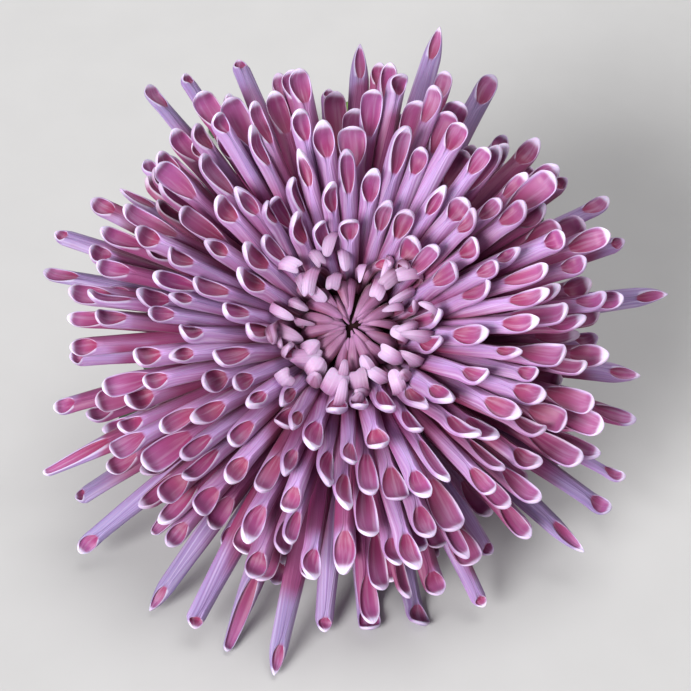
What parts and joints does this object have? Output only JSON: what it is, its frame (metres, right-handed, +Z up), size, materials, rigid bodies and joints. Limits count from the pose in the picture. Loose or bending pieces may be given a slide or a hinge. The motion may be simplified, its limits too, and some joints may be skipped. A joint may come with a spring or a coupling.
{
  "type": "spider chrysanthemum",
  "caption": "Cut spider chrysanthemum lying on its leafy stem, its dome of quilled petals with spoon tips tilted up round a closed heart.",
  "frame": {"origin": "centre of the bounding box in plan, on the surface that the flower lies on", "axes": "+Z up; +Y along the stem from the bloom to the cut end; the bloom faces -Y and up, 55 degrees above the surface"},
  "size_m": [0.1376, 0.1819, 0.0848],
  "materials": {
    "ray_petal": "soft satin petal, mauve lilac with deep rose mouths and pale tips",
    "heart_floret": "soft satin petal, pale lilac",
    "bract": "matte green with a paler edge",
    "stem": "matte ribbed green with short hairs",
    "leaf": "satin dark green above, greyer below, with veins"
  },
  "bodies": {
    "root": {"ray_petals": "ray_petal", "heart_florets": "heart_floret", "involucre": "bract", "stem": "stem", "leaf_1": "leaf", "leaf_2": "leaf", "leaf_3": "leaf"}
  },
  "joints": []
}
